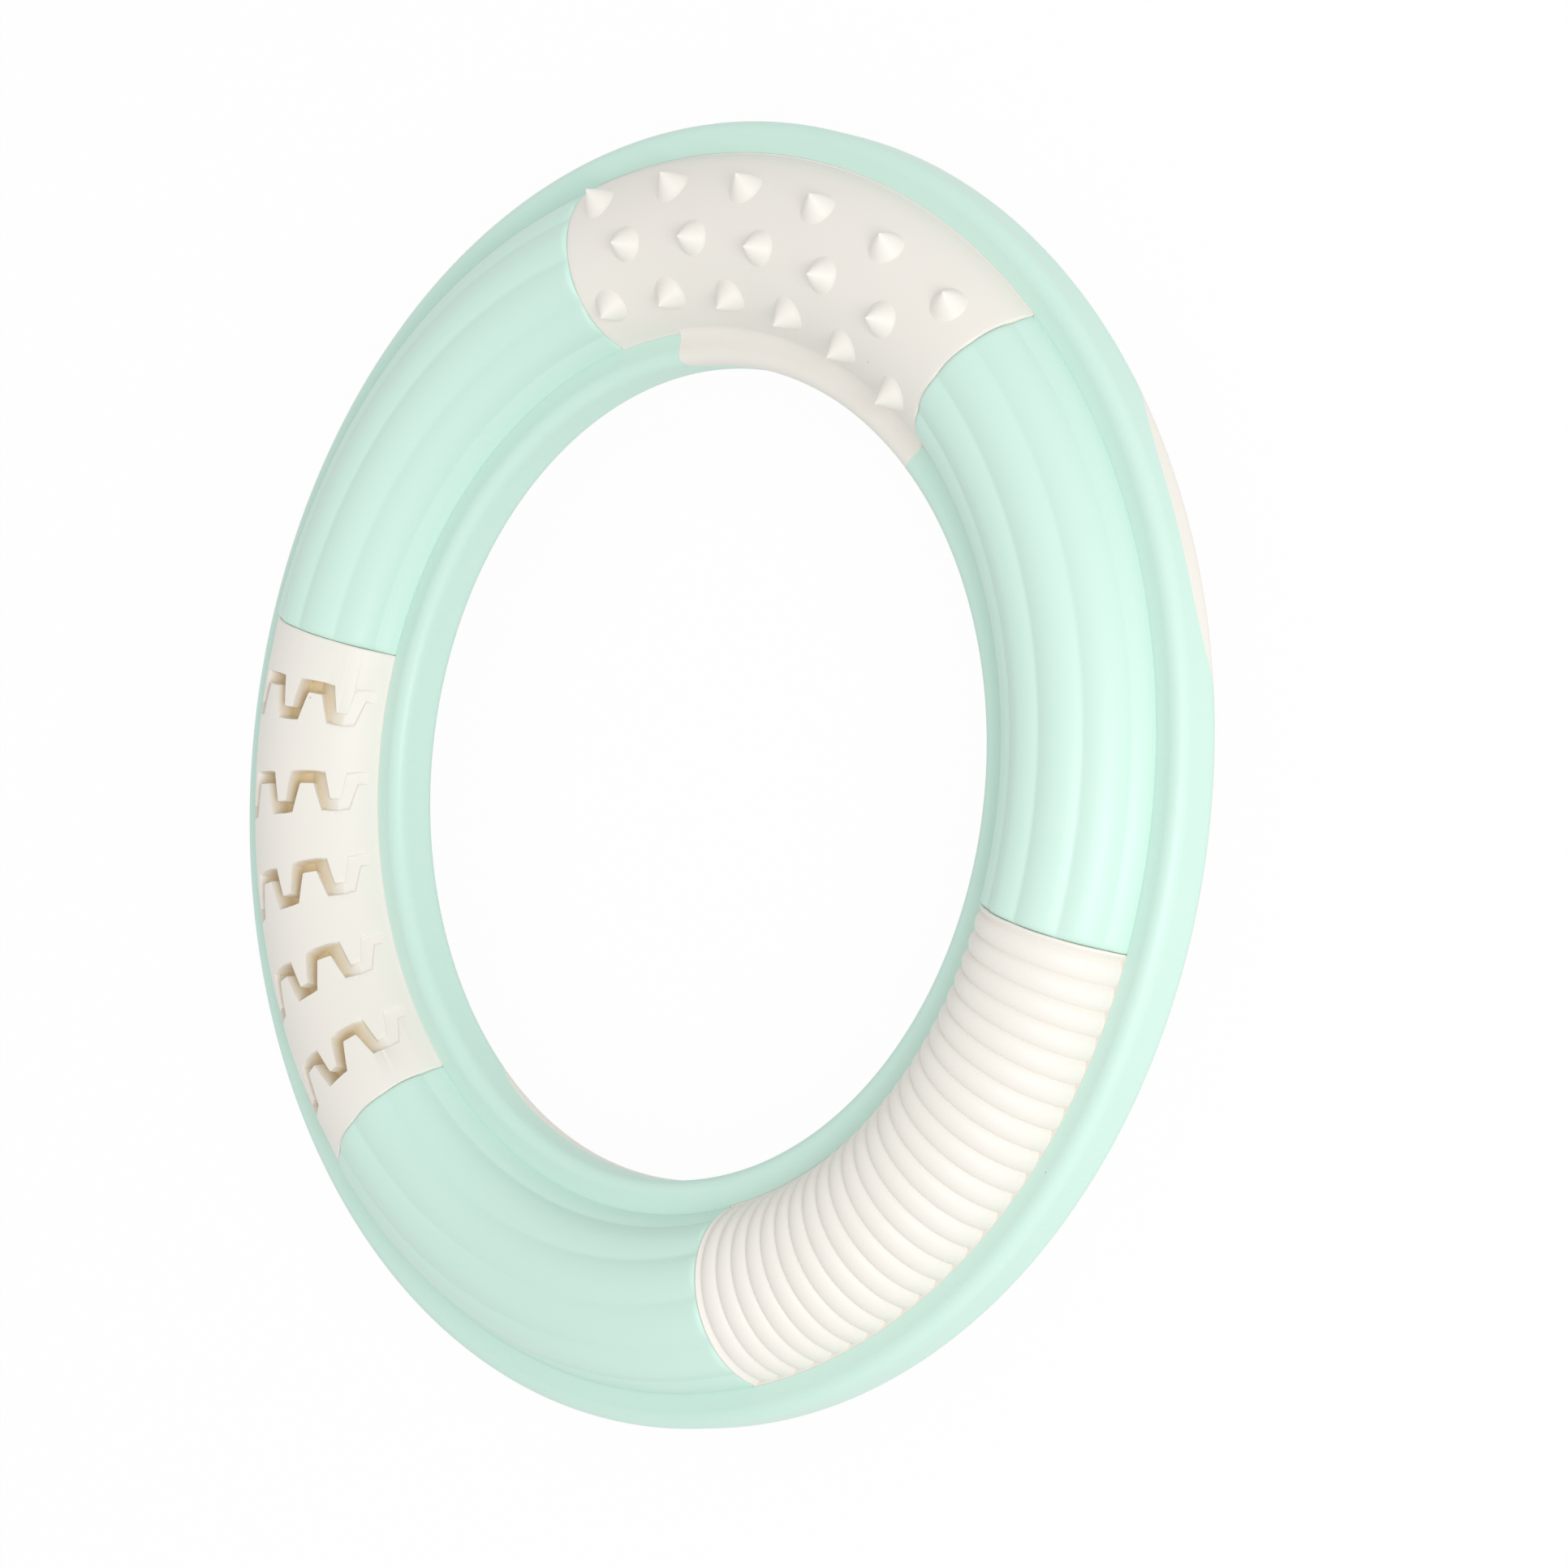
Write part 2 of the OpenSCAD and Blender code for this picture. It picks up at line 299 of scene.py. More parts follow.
def bent_round(tree, mesh, tube_r):
    """Bends a flat mesh round the ring: x is the turn, y the section's angle, z the radius."""
    place = add(tree, "GeometryNodeInputPosition")
    flat = add(tree, "ShaderNodeSeparateXYZ", {0: place.outputs[0]}).outputs
    out_share = add(tree, "ShaderNodeMath", {0: flat["Y"]}, operation="SINE")
    up_share = add(tree, "ShaderNodeMath", {0: flat["Y"]}, operation="COSINE")
    reach = add(tree, "ShaderNodeMath", {
        0: flat["Z"], 1: out_share.outputs[0], 2: tube_r,
    }, operation="MULTIPLY_ADD")
    height = add(tree, "ShaderNodeMath", {
        0: flat["Z"], 1: up_share.outputs[0],
    }, operation="MULTIPLY")
    cosine = add(tree, "ShaderNodeMath", {0: flat["X"]}, operation="COSINE")
    sine = add(tree, "ShaderNodeMath", {0: flat["X"]}, operation="SINE")
    x = add(tree, "ShaderNodeMath", {
        0: reach.outputs[0], 1: cosine.outputs[0],
    }, operation="MULTIPLY")
    y = add(tree, "ShaderNodeMath", {
        0: reach.outputs[0], 1: sine.outputs[0],
    }, operation="MULTIPLY")
    round_place = add(tree, "ShaderNodeCombineXYZ", {
        "X": x.outputs[0], "Y": y.outputs[0], "Z": height.outputs[0],
    })
    moved = add(tree, "GeometryNodeSetPosition", {
        "Geometry": mesh, "Position": round_place.outputs[0],
    })
    return moved.outputs[0]


def bend_tree():
    """Bends a flat mesh round the ring, and no more."""
    tree, start = new_tree("Bend round the ring", ["Tube radius"])
    return end_tree(tree, bent_round(tree, start["Mesh"], start["Tube radius"]), start)


def rib_tree():
    """Rounds the panel's back into ribs: an arc from crease to crease, and plain strips outside."""
    tree, start = new_tree("Ribs", [
        "Tube radius", "Rib depth", "Rib angle", "First rib", "Last rib",
    ])
    place = add(tree, "GeometryNodeInputPosition")
    turn = add(tree, "ShaderNodeSeparateXYZ", {0: place.outputs[0]}).outputs["X"]
    from_first = add(tree, "ShaderNodeMath", {0: turn, 1: start["First rib"]}, operation="SUBTRACT")
    ribs = add(tree, "ShaderNodeMath", {
        0: from_first.outputs[0], 1: start["Rib angle"],
    }, operation="DIVIDE")
    fall = add(tree, "ShaderNodeMath", {0: ribs.outputs[0]}, operation="FRACT")
    across = add(tree, "ShaderNodeMath", {
        0: fall.outputs[0], 1: 2.0, 2: -1.0,
    }, operation="MULTIPLY_ADD")
    square = add(tree, "ShaderNodeMath", {
        0: across.outputs[0], 1: across.outputs[0],
    }, operation="MULTIPLY")
    # A flat arc: a full half circle would cut the crease too deep
    left = add(tree, "ShaderNodeMath", {
        0: square.outputs[0], 1: -RIB_ARC_SHARE, 2: 1.0,
    }, operation="MULTIPLY_ADD")
    rounding = add(tree, "ShaderNodeMath", {0: left.outputs[0]}, operation="SQRT")
    drop = add(tree, "ShaderNodeMapRange", {
        "Value": rounding.outputs[0], "From Min": 1.0, "From Max": math.sqrt(1 - RIB_ARC_SHARE),
        "To Min": 0.0, "To Max": start["Rib depth"],
    })
    after = add(tree, "ShaderNodeMath", {0: turn, 1: start["First rib"]}, operation="GREATER_THAN")
    before = add(tree, "ShaderNodeMath", {0: turn, 1: start["Last rib"]}, operation="LESS_THAN")
    ribbed = add(tree, "ShaderNodeMath", {
        0: after.outputs[0], 1: before.outputs[0],
    }, operation="MULTIPLY")
    back = add(tree, "GeometryNodeInputNamedAttribute", {"Name": "back"}, data_type="FLOAT")
    where = add(tree, "ShaderNodeMath", {
        0: ribbed.outputs[0], 1: back.outputs[0],
    }, operation="MULTIPLY")
    down = add(tree, "ShaderNodeMath", {
        0: drop.outputs[0], 1: where.outputs[0],
    }, operation="MULTIPLY")
    up = add(tree, "ShaderNodeMath", {0: down.outputs[0], 1: -1.0}, operation="MULTIPLY")
    offset = add(tree, "ShaderNodeCombineXYZ", {"Z": up.outputs[0]})
    ribbed_mesh = add(tree, "GeometryNodeSetPosition", {
        "Geometry": start["Mesh"], "Offset": offset.outputs[0],
    })
    return end_tree(tree, bent_round(tree, ribbed_mesh.outputs[0], start["Tube radius"]), start)


def spike_tree():
    """Stands a lathed spike on each place of the flat panel, then bends it all round the ring."""
    tree, start = new_tree("Spikes", [
        "Tube radius", "Face radius", "Spike height", "Foot radius", "Sink",
    ])
    tube = add(tree, "GeometryNodeMeshCone", {
        "Vertices": SPIKE_VERTICES, "Side Segments": SPIKE_SEGMENTS,
        "Radius Top": 1.0, "Radius Bottom": 1.0, "Depth": 1.0,
    })
    place = add(tree, "GeometryNodeInputPosition")
    at = add(tree, "ShaderNodeSeparateXYZ", {0: place.outputs[0]}).outputs
    profile = add(tree, "ShaderNodeFloatCurve", {"Value": at["Z"]})
    points = profile.mapping.curves[0].points
    points[0].location = SPIKE_PROFILE[0]
    points[1].location = SPIKE_PROFILE[-1]
    for share in SPIKE_PROFILE[1:-1]:
        points.new(*share)
    for point in points:
        point.handle_type = "AUTO_CLAMPED"
    profile.mapping.update()
    radius = add(tree, "ShaderNodeMath", {
        0: profile.outputs[0], 1: start["Foot radius"],
    }, operation="MULTIPLY")
    whole = add(tree, "ShaderNodeMath", {
        0: start["Spike height"], 1: start["Sink"],
    }, operation="ADD")
    size = add(tree, "ShaderNodeCombineXYZ", {
        "X": radius.outputs[0], "Y": radius.outputs[0], "Z": whole.outputs[0],
    })
    lathed = add(tree, "ShaderNodeVectorMath", {
        0: place.outputs[0], 1: size.outputs[0],
    }, operation="MULTIPLY")
    sink = add(tree, "ShaderNodeMath", {0: start["Sink"], 1: -1.0}, operation="MULTIPLY")
    lowered = add(tree, "ShaderNodeCombineXYZ", {"Z": sink.outputs[0]})
    spike = add(tree, "GeometryNodeSetPosition", {
        "Geometry": tube.outputs[0], "Position": lathed.outputs[0], "Offset": lowered.outputs[0],
    })
    rows = add(tree, "GeometryNodeJoinGeometry")
    for row, count in SPIKE_ROWS:
        section = SPIKE_ROW_TURN + row * SPIKE_ROW_ANGLE
        rise = panel_reach(section) - PANEL_R
        first = (SPIKE_SHIFT - (count - 1) / 2 * SPIKE_PITCH, section, rise)
        line = add(tree, "GeometryNodeMeshLine", {
            "Count": count, "Start Location": first, "Offset": (SPIKE_PITCH, 0.0, 0.0),
        })
        tree.links.new(line.outputs[0], rows.inputs[0])
    lift = add(tree, "ShaderNodeCombineXYZ", {"Z": start["Face radius"]})
    places = add(tree, "GeometryNodeSetPosition", {
        "Geometry": rows.outputs[0], "Offset": lift.outputs[0],
    })
    # On the flat sheet a millimetre is fewer radians further from the axis
    sine = add(tree, "ShaderNodeMath", {0: at["Y"]}, operation="SINE")
    reach = add(tree, "ShaderNodeMath", {
        0: start["Face radius"], 1: sine.outputs[0], 2: start["Tube radius"],
    }, operation="MULTIPLY_ADD")
    turn_scale = add(tree, "ShaderNodeMath", {0: 1.0, 1: reach.outputs[0]}, operation="DIVIDE")
    section_scale = add(tree, "ShaderNodeMath", {
        0: 1.0, 1: start["Face radius"],
    }, operation="DIVIDE")
    scale = add(tree, "ShaderNodeCombineXYZ", {
        "X": turn_scale.outputs[0], "Y": section_scale.outputs[0], "Z": 1.0,
    })
    spikes = add(tree, "GeometryNodeInstanceOnPoints", {
        "Points": places.outputs[0], "Instance": spike.outputs[0], "Scale": scale.outputs[0],
    })
    real = add(tree, "GeometryNodeRealizeInstances", {0: spikes.outputs[0]})
    both = add(tree, "GeometryNodeJoinGeometry")
    tree.links.new(start["Mesh"], both.inputs[0])
    tree.links.new(real.outputs[0], both.inputs[0])
    return end_tree(tree, bent_round(tree, both.outputs[0], start["Tube radius"]), start)


# Sections, as points (out, up) from the tube's middle line

def arc(centre, radius, first, last, count):
    """Points on an arc, whose angles run from up towards out."""
    angles = np.linspace(first, last, count)
    return np.c_[centre[0] + radius * np.sin(angles), centre[1] + radius * np.cos(angles)]


def spread(points, count):
    """The same outline with count points at even steps along it."""
    points = np.asarray(points, float)
    along = np.r_[0, np.cumsum(np.hypot(*np.diff(points, axis=0).T))]
    steps = np.linspace(0, along[-1], count)
    return np.c_[np.interp(steps, along, points[:, 0]), np.interp(steps, along, points[:, 1])]


def channel_height(out):
    """Height of the channel's arc at a place out from the tube's middle line."""
    return CHANNEL_FLOOR + CHANNEL_R - math.sqrt(CHANNEL_R ** 2 - (out - CHANNEL_OUT) ** 2)


def lobed_radius(angle):
    """Radius of the lobed back, with the creases between the lobes rounded."""
    reach = [
        LOBE_OUT * np.cos(angle - place)
        + np.sqrt(LOBE_R ** 2 - (LOBE_OUT * np.sin(angle - place)) ** 2)
        if abs(angle - place) < LOBE_STEP else 0.0
        for place in LOBE_PLACES
    ]
    next_high, high = sorted(reach)[-2:]
    blend = max(CREASE_BLEND - (high - next_high), 0)
    return high + blend ** 2 / (4 * CREASE_BLEND)


def lobed_back():
    """The lobed back from one side's channel to the other's, with a point on each crease."""
    meet = math.atan2(WINDOW_HALF, channel_height(WINDOW_HALF))
    marks = [-meet] + CREASE_PLACES + [meet]
    lobes = [np.linspace(low, high, LOBE_POINTS)[:-1] for low, high in zip(marks, marks[1:])]
    angles = np.append(np.concatenate(lobes), meet)
    radii = np.array([lobed_radius(angle) for angle in angles])
    return np.c_[radii * np.sin(angles), radii * np.cos(angles)]


LOBED_BACK = lobed_back()


def flange_top(low):
    """The flange's outline from the window over its channel and rounding down to a height."""
    outs = np.linspace(WINDOW_HALF, CHANNEL_OUT + CHANNEL_W, CHANNEL_POINTS)
    dip = [(out, channel_height(out)) for out in outs]
    above = max(low - ROUND_UP, 0) / RIM_ROUND
    bead = arc((ROUND_OUT, ROUND_UP), RIM_ROUND, 0, math.acos(above), ROUND_POINTS)
    wall = [[SECTION_HALF, low]] if low < ROUND_UP else np.empty((0, 2))
    return np.concatenate([dip, bead, wall])


def flange_wall(high):
    """The flange's outline from a height on its rounding or wall down to the parting plane."""
    start = math.acos(max(high - ROUND_UP, 0) / RIM_ROUND)
    bead = arc((ROUND_OUT, ROUND_UP), RIM_ROUND, start, math.pi / 2, WALL_ROUND_POINTS)
    bead[:, 1] = np.minimum(bead[:, 1], high)
    return np.concatenate([bead, [[SECTION_HALF, 0]]])


def shell_loop(lobed, rounding, cuts):
    """One loop of a shell's section.

    The rounding is 1 where the lobes end at a panel, level all round, and 0 away from it; cuts
    holds the height of the cut for a foot on each side.
    """
    sides = {}
    for side in (-1, 1):
        if side in cuts:
            wall = flange_wall(cuts[side])
            floor = [[WINDOW_HALF, cuts[side]], wall[0]]
            outline = np.concatenate([
                spread(floor, FLANGE_POINTS - WALL_POINTS), spread(wall, WALL_POINTS),
            ])
        else:
            outline = spread(flange_top(0), FLANGE_POINTS)
        sides[side] = outline * [side, 1]
    back = LOBED_BACK
    if lobed:
        size = np.hypot(*back.T)
        # The rounded end runs out towards the flange
        fade = np.clip((CREST_R - np.abs(back[:, 0])) / LOBE_END_FADE, 0, 1)
        back = back * (1 - rounding * fade * (size - LOBE_END_R) / size)[:, None]
    else:
        back = spread([
            [-WINDOW_HALF, sides[-1][0][1]], [-WINDOW_HALF, WINDOW_FLOOR],
            [WINDOW_HALF, WINDOW_FLOOR], [WINDOW_HALF, sides[1][0][1]],
        ], len(back))
    return np.concatenate([sides[-1][::-1], back, sides[1]])


def panel_arc(inset=0.0):
    """Height of its centre, radius and half angle of the arc over a panel's back."""
    top = PANEL_R - inset
    half = CHANNEL_OUT - max(inset, 0.0)
    low = (top ** 2 - half ** 2 - LEDGE_UP ** 2) / (2 * (top - LEDGE_UP))
    return low, top - low, math.atan2(half, LEDGE_UP - low)


def panel_reach(section):
    """Distance from the tube's middle line to the panel's back at an angle of the section."""
    low, radius = panel_arc()[:2]
    return low * math.cos(section) + math.sqrt(radius ** 2 - (low * math.sin(section)) ** 2)


def panel_loop(inset=0.0, points=PANEL_POINTS):
    """A panel's section: side, ledge level with the channel, rounded back, ledge and side."""
    low, radius, half_angle = panel_arc(inset)
    back = arc((0, low), radius, -half_angle, half_angle, points)
    side = np.array([[PANEL_HALF, PANEL_FLOOR], [PANEL_HALF, LEDGE_UP]])
    return np.concatenate([side * [-1, 1], back, side[::-1]])


def flat_ring(turn, loop):
    """A loop (out, up) at a turn, as points (turn, section's angle, radius)."""
    return np.c_[np.full(len(loop), turn), np.arctan2(loop[:, 0], loop[:, 1]), np.hypot(*loop.T)]


def rounded_end(count, depth):
    """Steps in from an end, each with the section's inset there, along a quarter circle."""
    angles = np.linspace(0, math.pi / 2, count)
    return [(depth * (1 - math.cos(a)), depth * (1 - math.sin(a))) for a in angles]


# Meshes

def skin(name, rings, closed=False):
    """A mesh over rings of points, capped at both ends unless it is closed."""
    count, size = len(rings), len(rings[0])
    spans = count if closed else count - 1
    i, j = np.meshgrid(np.arange(spans), np.arange(size), indexing="ij")
    here, there = i * size, (i + 1) % count * size
    after = (j + 1) % size
    quads = np.stack([here + j, here + after, there + after, there + j], axis=-1).reshape(-1, 4)
    faces = quads.tolist()
    if not closed:
        faces.append(list(range(size))[::-1])
        faces.append(list(range((count - 1) * size, count * size)))
    mesh = bpy.data.meshes.new(name)
    mesh.from_pydata(np.concatenate(rings).tolist(), [], faces)
    return mesh


def bake(name, mesh, tree, sizes, material):
    """Runs a geometry tree on a flat mesh and returns the result as a plain mesh."""
    flat = bpy.data.objects.new(name + "_flat", mesh)
    bpy.context.scene.collection.objects.link(flat)
    modifier = flat.modifiers.new("Shape", "NODES")
    modifier.node_group = tree
    values = {"Material": material, **sizes}
    for item in tree.interface.items_tree:
        if item.item_type == "SOCKET" and item.in_out == "INPUT" and item.name in values:
            modifier[item.identifier] = values[item.name]
    seen = flat.evaluated_get(bpy.context.evaluated_depsgraph_get())
    result = bpy.data.meshes.new_from_object(seen)
    bpy.data.objects.remove(flat)
    return result


def finished(name, meshes, turn, turned_over, material):
    """One piece from baked meshes, turned to its place on the front or the back face."""
    whole = bmesh.new()
    for mesh in meshes:
        whole.from_mesh(mesh)
    place = Matrix.Rotation(turn, 4, "Z")
    if turned_over:
        place = Matrix.Rotation(math.pi, 4, "X") @ Matrix.Rotation(BACK_TURN + turn, 4, "Z")
    whole.transform(place)
    bmesh.ops.recalc_face_normals(whole, faces=whole.faces)
    result = bpy.data.meshes.new(name)
    whole.to_mesh(result)
    whole.free()
    result.shade_smooth()
    result.set_sharp_from_angle(angle=SHARP_ANGLE)
    result.materials.clear()
    result.materials.append(material)
    piece = bpy.data.objects.new(name, result)
    bpy.context.scene.collection.objects.link(piece)
    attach(piece, "root")
    return piece


# Shells

def foot_steps(foot):
    """Turns along a foot, close together at its ends, with the height of its web at each."""
    shift, angle, web, square = foot[1:]
    shares = np.sin(np.linspace(-math.pi / 2, math.pi / 2, FOOT_RINGS))
    heights = web + (CHANNEL_FLOOR - web) * np.abs(shares) ** square
    return list(zip(shift + angle / 2 * shares, heights))


def angle_off(turn, middle):
    """How far a turn lies from a middle, from minus to plus half a round."""
    return (turn - middle + math.pi) % (2 * math.pi) - math.pi


def shell_rings(feet):
    """Rings of a shell's section all the way round; feet are pairs of a panel's turn and a foot."""
    window = PANEL_ANGLE / 2
    hair = HAIR / TUBE_R
    places = []
    for turn in PANEL_TURNS:
        for side in (-1, 1):
            edge = turn + side * window
            for step, inset in rounded_end(LOBE_END_RINGS, LOBE_END_ROUND):
                places.append((edge + side * (step / TUBE_R + hair), True, inset / LOBE_END_ROUND))
            places.append((edge - side * hair, False, 0.0))
    plain = [k * RING_STEP for k in range(round(2 * math.pi / RING_STEP))]
    for panel, foot in feet:
        turns = [panel + turn for turn, _ in foot_steps(foot)]
        plain += [turns[0] - hair, *turns, turns[-1] + hair]
    for turn in plain:
        past_end = min(abs(angle_off(turn, panel)) for panel in PANEL_TURNS) - window
        if not 0 <= past_end * TUBE_R <= LOBE_END_ROUND:
            places.append((turn, past_end > 0, 0.0))
    rings = []
    for turn, lobed, rounding in sorted(places, key=lambda place: place[0] % (2 * math.pi)):
        cuts = {}
        for panel, foot in feet:
            turns, heights = zip(*foot_steps(foot))
            off = angle_off(turn, panel)
            if turns[0] - hair / 2 <= off <= turns[-1] + hair / 2:
                cuts[foot[0]] = float(np.interp(off, turns, heights))
        rings.append(flat_ring(turn, shell_loop(lobed, rounding, cuts)))
    return rings


def make_shell(node, feet, turned_over):
    """A mint half of the ring: flange and lobes, with windows for the panels and cuts for feet."""
    mesh = skin(node, shell_rings(feet), closed=True)
    baked = bake(node, mesh, BEND, {"Tube radius": TUBE_R}, MINT)
    name = node.replace("shell", "half")
    piece = finished(name, [baked], 0.0, turned_over, MINT)
    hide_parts(node)


# Panels

def panel_ends():
    """Turns and insets at both ends of a panel."""
    steps = rounded_end(PANEL_END_RINGS, PANEL_END_ROUND)
    low = [(-PANEL_STRETCH / 2 + step / TUBE_R, inset) for step, inset in steps]
    high = [(-turn, inset) for turn, inset in low[::-1]]
    return low, high


def foot_mesh(name, foot):
    """A foot beside a panel: the flange's section above its web, with a fillet up to the panel."""
    side = foot[0]
    # The fillet touches the panel's back and the channel, whose height depends on where it ends
    low, radius = panel_arc()[:2]
    out = WINDOW_HALF
    for _ in range(FILLET_STEPS):
        up = channel_height(out) + FOOT_FILLET
        out = math.sqrt((radius + FOOT_FILLET) ** 2 - (up - low) ** 2)
    fillet = arc((out, up), -FOOT_FILLET, math.atan2(out, up - low), 0, FILLET_POINTS)
    buried = fillet[0] * (1 - FOOT_BURIED / PANEL_R)
    rings = []
    for turn, height in foot_steps(foot):
        top = flange_top(height)
        skin_line = spread(np.concatenate([fillet, top[top[:, 0] > out]]), FOOT_POINTS)
        outline = np.concatenate([[[buried[0], height], buried], skin_line])
        rings.append(flat_ring(turn, outline * [side, 1]))
    return bake(name, skin(name, rings), BEND, {"Tube radius": TUBE_R}, CREAM)


def finish_panel(node, panel, feet, turn, turned_over):
    """A panel's piece, from its baked mesh and its feet, in place of its node."""
    meshes = [panel] + [foot_mesh(node, foot) for foot in feet]
    piece = finished(node + "_moulding", meshes, turn, turned_over, CREAM)
    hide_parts(node)


def make_spiked_panel(node, feet, turned_over):
    """A smooth panel with rows of pointed spikes."""
    low, high = panel_ends()
    middle = [(turn, 0.0) for turn in np.linspace(low[-1][0], high[0][0], SPIKED_RINGS)[1:-1]]
    rings = [flat_ring(turn, panel_loop(inset)) for turn, inset in low + middle + high]
    sizes = {
        "Tube radius": TUBE_R, "Face radius": PANEL_R, "Spike height": SPIKE_H,
        "Foot radius": SPIKE_FOOT_R * SPIKE_FLARE, "Sink": SPIKE_SINK,
    }
    panel = bake(node, skin(node, rings), SPIKES, sizes, CREAM)
    finish_panel(node, panel, feet, SPIKED_TURN, turned_over)


def make_ribbed_panel(node, feet, turned_over):
    """A panel with fine ribs across it, between two plain strips."""
    low, high = panel_ends()
    first = -(PANEL_ANGLE / 2 - STRIP_ANGLE)
    rib_angle = -2 * first / RIB_COUNT
    rise = PANEL_R - CREST_R
    ribs = [(first + k * rib_angle / RIB_COLUMNS, rise) for k in range(RIB_COUNT * RIB_COLUMNS + 1)]
    turns = [(turn, inset + STRIP_INSET) for turn, inset in low] + ribs
    turns += [(turn, inset + STRIP_INSET) for turn, inset in high]
    rings = [flat_ring(turn, panel_loop(inset)) for turn, inset in turns]
    mesh = skin(node, rings)
    back = np.zeros((len(rings), len(rings[0])))
    back[:, SIDE_POINTS:-SIDE_POINTS] = 1
    attribute = mesh.attributes.new("back", "FLOAT", "POINT")
    attribute.data.foreach_set("value", back.ravel())
    sizes = {
        "Tube radius": TUBE_R, "Rib depth": RIB_DEPTH, "Rib angle": rib_angle,
        "First rib": first - rib_angle * RIB_MARGIN, "Last rib": -first + rib_angle * RIB_MARGIN,
    }
    panel = bake(node, mesh, RIBS, sizes, CREAM)
    finish_panel(node, panel, feet, RIBBED_TURN, turned_over)


def zigzag_wave(section, flats):
    """-1 on the high flats, 1 on the low ones, and straight between."""
    high_flat, low_flat = flats
    period = 2 * ZIGZAG_STEP
    from_low = np.abs((section - ZIGZAG_SHIFT + period / 2) % period - period / 2)
    rise_from = low_flat / 2
    rise_to = ZIGZAG_STEP - high_flat / 2
    return 1 - 2 * np.clip((from_low - rise_from) / (rise_to - rise_from), 0, 1)


def groove_columns():
    """Across a groove, pairs of the place from its middle, -1 to 1, and the share of its depth."""
    return [(-gap, depth) for gap, depth in GROOVE_WALL] + [(0.0, 1.0)] + GROOVE_WALL[::-1]


def make_zigzag_panel(node, turned_over):
    """A panel with zigzag grooves across it."""
    low, high = panel_ends()
    loop = panel_loop(points=ZIGZAG_POINTS)
    section = np.arctan2(loop[:, 0], loop[:, 1])
    size = np.hypot(*loop.T)
    back = np.zeros(len(loop))
    back[SIDE_POINTS:-SIDE_POINTS] = 1
    reach = TUBE_R + PANEL_R * np.sin(section)
    upper = ZIGZAG_SWING * zigzag_wave(section, UPPER_FLATS) * back
    lower = ZIGZAG_SWING * zigzag_wave(section, LOWER_FLATS) * back
    gap_half = ZIGZAG_W / 2 / reach
    cut_depth = ZIGZAG_DEPTH * np.interp(section, ZIGZAG_FADE, ZIGZAG_FADED_DEPTHS)
    # Painted shade: how much tan shade the grooves get, fading towards the hole
    painted_shade_share = np.interp(section, ZIGZAG_FADE, ZIGZAG_PAINTED_SHADE_SHARES)
    rings, painted_shades = [], []
    for turn, inset in low:
        rings.append(flat_ring(turn, panel_loop(inset, points=ZIGZAG_POINTS)))
        painted_shades.append(np.zeros(len(loop)))
    for k in range(ZIGZAG_COUNT):
        middle = (k - (ZIGZAG_COUNT - 1) / 2) * ZIGZAG_PITCH
        for gap, depth in groove_columns():
            swing = upper + (lower - upper) * (gap + 1) / 2
            turn = middle + swing + gap * gap_half * back
            radius = size - depth * cut_depth * back
            rings.append(np.c_[turn, section, radius])
            # Painted shade: the tan grows with the depth in the groove
            painted_shades.append(depth * painted_shade_share * back)
        if k < ZIGZAG_COUNT - 1:
            start = middle + lower + gap_half * back
            end = middle + ZIGZAG_PITCH + upper - gap_half * back
            for share in BETWEEN_SHARES:
                rings.append(np.c_[start + (end - start) * share, section, size])
                painted_shades.append(np.zeros(len(loop)))
    for turn, inset in high:
        rings.append(flat_ring(turn, panel_loop(inset, points=ZIGZAG_POINTS)))
        painted_shades.append(np.zeros(len(loop)))
    mesh = skin(node, rings)
    # The groove attribute holds each point's share of painted tan shade
    shade = mesh.attributes.new("groove", "FLOAT", "POINT")
    shade.data.foreach_set("value", np.concatenate(painted_shades))
    panel = bake(node, mesh, BEND, {"Tube radius": TUBE_R}, CREAM)
    finish_panel(node, panel, [], ZIGZAG_TURN, turned_over)


# Materials

def linear(hex_colour):
    """An sRGB hex colour as linear RGBA, by the sRGB standard's curve."""
    parts = [int(hex_colour[i:i + 2], 16) / 255 for i in (1, 3, 5)]
    return [p / 12.92 if p <= 0.04045 else ((p + 0.055) / 1.055) ** 2.4 for p in parts] + [1.0]


